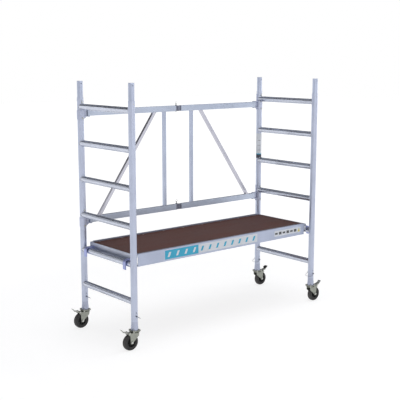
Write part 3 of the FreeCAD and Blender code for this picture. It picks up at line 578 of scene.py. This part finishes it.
def pedal_shade_pad():
    """Black ribbed block on the tread of the right rear brake pedal only: painted shade where this pedal's
    tip lies in shadow.
    """
    low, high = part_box("right_rear_brake_pedal")
    half_width = 17 * MM
    run = 26 * MM
    drop = 12.6 * MM
    centre_y = (low.y + high.y) / 2
    tip = Vector((high.x, centre_y, high.z))
    root = Vector((high.x - run, centre_y, high.z - drop))
    along = (tip - root).normalized()
    across = Vector((0, 1, 0))
    up = along.cross(across) * -1
    matrix = Matrix.Translation(root) @ Matrix((along, across, up)).transposed().to_4x4()
    length = (tip - root).length
    build = Build()
    pad_low = Vector((0, -half_width, -4.6 * MM))
    pad_high = Vector((length, half_width, 3.0 * MM))
    build.block(pad_low, pad_high, 1.6 * MM, matrix)
    ribs = 5
    rib_reach = half_width * 0.86
    for i in range(ribs):
        x = length * (i + 0.7) / (ribs + 0.4)
        near = Vector((x, -rib_reach, 2.4 * MM))
        far = Vector((x + 2.2 * MM, rib_reach, 4.0 * MM))
        build.block(near, far, 0.7 * MM, matrix)
    # The black block is painted shade; the other three pedals are the same part and have none.
    name = "right_rear_pedal_shade_pad"
    piece(name, "right_rear_pedal", finishes["pad"], build.verts, build.faces, False)


# ---- Labels ------------------------------------------------------------------------------
def beam_patch(name, material, outline, lift=0):
    """A thin piece of film on the front face of the front beam, from (x, z) corners."""
    face = BEAM_LOW.y - FILM * lift
    verts = []
    for y in (face, face - FILM):
        verts += [Vector((x, y, z)) for x, z in outline]
    count = len(outline)
    faces = [tuple(range(count)), tuple(reversed(range(count, 2 * count)))]
    for i in range(count):
        j = (i + 1) % count
        faces.append((i, i + count, j + count, j))
    work = bmesh.new()
    made = piece(name, "platform", finishes[material], verts, faces, False)
    work.from_mesh(made.data)
    bmesh.ops.recalc_face_normals(work, faces=work.faces)
    work.to_mesh(made.data)
    work.free()
    return made


def rectangle(low_x, high_x, low_z, high_z):
    return [(low_x, low_z), (high_x, low_z), (high_x, high_z), (low_x, high_z)]


def beam_labels():
    """Two-colour stripe with slanted bars."""
    low_z = BEAM_LOW.z + 14 * MM
    high_z = BEAM_HIGH.z - 12 * MM
    start, split, end = BAND_X
    beam_patch("beam_label_cyan", "cyan", rectangle(start, split, low_z, high_z))
    beam_patch("beam_label_white", "white", rectangle(split, end, low_z, high_z))
    slant = 16 * MM
    bar = 20 * MM
    bar_low = low_z + 16 * MM
    bar_high = high_z - 16 * MM
    for name, material, first, last, count in (
        ("cyan", "white", start, split, 4),
        ("white", "cyan", split, end, 8),
    ):
        pitch = (last - first) / count
        for i in range(count):
            x = first + pitch * (i + 0.5) - bar / 2
            outline = [(x - slant / 2, bar_low), (x + bar - slant / 2, bar_low)]
            outline += [(x + bar + slant / 2, bar_high), (x + slant / 2, bar_high)]
            beam_patch(f"beam_label_{name}_bar_{i}", material, outline, 1)


def safety_label():
    """White strip with a row of plain marks, the last one a yellow triangle."""
    low_z = BEAM_LOW.z + 26 * MM
    high_z = BEAM_HIGH.z - 22 * MM
    start, end = SAFETY_X
    beam_patch("safety_label", "white", rectangle(start, end, low_z, high_z))
    count = 7
    pitch = (end - start) / count
    for i in range(count):
        x = start + pitch * (i + 0.5)
        half = pitch * 0.34
        z = (low_z + high_z) / 2
        if i == count - 1:
            outline = [(x - half, z - half), (x + half, z - half), (x, z + half)]
            beam_patch(f"safety_mark_{i}", "yellow", outline, 1)
        else:
            rise = half * (0.75 if i % 2 else 0.5)
            beam_patch(f"safety_mark_{i}", "dark", rectangle(x - half, x + half, z - rise, z + rise), 1)


def post_wrap(name, material, low_z, high_z, lift=0, spread=80.0):
    """Film wrapped on the bay side and front of the right rear post."""
    axis = post_axis("right", "rear")
    inner = POST_RADIUS + FILM * lift
    steps = 20
    rings = []
    for z in (low_z, high_z):
        ring = []
        for radius, order in ((inner, 1), (inner + FILM, -1)):
            for i in range(steps + 1):
                t = i / steps if order > 0 else 1 - i / steps
                angle = math.radians(WRAP_CENTRE - spread + 2 * spread * t)
                ring.append(axis + Vector((radius * math.cos(angle), radius * math.sin(angle), z)))
        rings.append(ring)
    build = Build()
    build.grid(rings, False)
    return piece(name, "right_frame", finishes[material], build.verts, build.faces, False)


def post_label():
    """White label with a dark foot, a bright line and three plain ticks."""
    low = RUNG_Z[3] + 19 * MM
    split = low + 38 * MM
    post_wrap("post_label", "white", split, split + 188 * MM)
    post_wrap("post_label_band", "navy", low, split)
    post_wrap("post_label_stripe", "cyan", split - 5 * MM, split + 3 * MM, 1, 60.0)
    for i in range(3):
        z = split + (33 + i * 45) * MM
        post_wrap(f"post_label_tick_{i}", "dark", z, z + 3 * MM, 1, 30.0)


# ---- Studio ------------------------------------------------------------------------------
FLOOR_GLOW = (0.80, 1.0)
WORLD_LOW = (0.98, 0.98, 1.0, 1.0)
WORLD_TOP = (0.60, 0.61, 0.66, 1.0)
WORLD_STEPS = ((0.165, 0.85), (0.21, 0.05), (0.62, 0.06), (0.80, 0.45))
CAMERA_PLACE = (-4.3488, -5.1238, 2.1284)
CAMERA_TURN = 40.07
CAMERA_DIP = 9.773
CAMERA_LENS = 74.25
CAMERA_SENSOR = 36.0


def studio_floor():
    size = 30.0
    verts = [Vector((x, y, 0)) for x, y in ((-size, -size), (size, -size), (size, size), (-size, size))]
    mesh = bpy.data.meshes.new("studio_floor")
    mesh.from_pydata(verts, [], [(0, 1, 2, 3)])
    s = Shader("studio_floor", Metallic=0.0, Specular_IOR_Level=0.1, Emission_Color=(1, 1, 1, 1))
    mottle = s.noise(s.place, 3.0, 4.0)
    s.set("Base Color", s.mix(mottle, srgb(150, 150, 151), srgb(158, 158, 158)))
    away = s.node("VectorMath", {0: s.place}, output="Value", operation="LENGTH")
    s.set("Emission Strength", s.band(away, 1.8, 6.0, *FLOOR_GLOW))
    s.set("Roughness", s.band(mottle, 0.3, 0.7, 0.75, 0.9))
    mesh.materials.append(s.material)
    floor = bpy.data.objects.new("studio_floor", mesh)
    bpy.context.scene.collection.objects.link(floor)


def studio_world():
    """White for the camera. For everything else, white low down and dim higher up."""
    world = bpy.data.worlds.new("studio")
    world.use_nodes = True
    tree = world.node_tree
    tree.nodes.clear()
    coordinates = tree.nodes.new("ShaderNodeTexCoord")
    split = tree.nodes.new("ShaderNodeSeparateXYZ")
    tree.links.new(coordinates.outputs["Generated"], split.inputs[0])
    ramp = tree.nodes.new("ShaderNodeValToRGB")
    tree.links.new(split.outputs["Z"], ramp.inputs[0])
    stops = ramp.color_ramp.elements
    stops[0].position = 0.0
    stops[0].color = WORLD_LOW
    stops[1].position = 1.0
    stops[1].color = WORLD_TOP
    for position, value in WORLD_STEPS:
        stop = stops.new(position)
        stop.color = (value, value, value * 1.06, 1.0)
    soft = tree.nodes.new("ShaderNodeBackground")
    tree.links.new(ramp.outputs[0], soft.inputs["Color"])
    soft.inputs["Strength"].default_value = 1.0
    plain = tree.nodes.new("ShaderNodeBackground")
    plain.inputs["Color"].default_value = (1.0, 1.0, 1.0, 1.0)
    rays = tree.nodes.new("ShaderNodeLightPath")
    mix = tree.nodes.new("ShaderNodeMixShader")
    tree.links.new(rays.outputs["Is Camera Ray"], mix.inputs[0])
    tree.links.new(soft.outputs[0], mix.inputs[1])
    tree.links.new(plain.outputs[0], mix.inputs[2])
    output = tree.nodes.new("ShaderNodeOutputWorld")
    tree.links.new(mix.outputs[0], output.inputs["Surface"])
    bpy.context.scene.world = world


def softbox(name, place, target, width, height, power):
    light = bpy.data.lights.new(name, "AREA")
    light.shape = "RECTANGLE"
    light.size = width
    light.size_y = height
    light.energy = power
    made = bpy.data.objects.new(name, light)
    made.location = place
    made.rotation_mode = "QUATERNION"
    made.rotation_quaternion = (Vector(target) - Vector(place)).to_track_quat("-Z", "Y")
    made.visible_camera = False
    bpy.context.scene.collection.objects.link(made)


def studio_lights():
    centre = (0.0, 0.0, 1.0)
    softbox("back_softbox", (-3.0, 4.9, 3.0), centre, 2.6, 1.5, 9)
    softbox("top_softbox", (0.3, -0.4, 5.2), centre, 3.6, 3.6, 85)
    softbox("front_softbox", (-1.2, -5.6, 3.4), centre, 3.4, 2.4, 45)
    softbox("side_softbox", (5.5, -1.5, 2.6), centre, 2.4, 2.4, 30)


def camera():
    data = bpy.data.cameras.new("camera")
    data.lens = CAMERA_LENS
    data.sensor_width = CAMERA_SENSOR
    turn = math.radians(CAMERA_TURN)
    dip = math.radians(CAMERA_DIP)
    made = bpy.data.objects.new("camera", data)
    made.location = CAMERA_PLACE
    aim = Vector((math.sin(turn) * math.cos(dip), math.cos(turn) * math.cos(dip), -math.sin(dip)))
    made.rotation_mode = "QUATERNION"
    made.rotation_quaternion = aim.to_track_quat("-Z", "Y")
    bpy.context.scene.collection.objects.link(made)
    bpy.context.scene.camera = made


# ---- Scene -------------------------------------------------------------------------------
dress_nodes()
rung_welds()
brace_welds()
spigot_rivets()
deck_rivets()
tyres()
wheel_ribs()
pedal_shade_pad()
beam_labels()
safety_label()
post_label()
studio_floor()
studio_world()
studio_lights()
camera()
bpy.context.scene.view_settings.view_transform = "Standard"
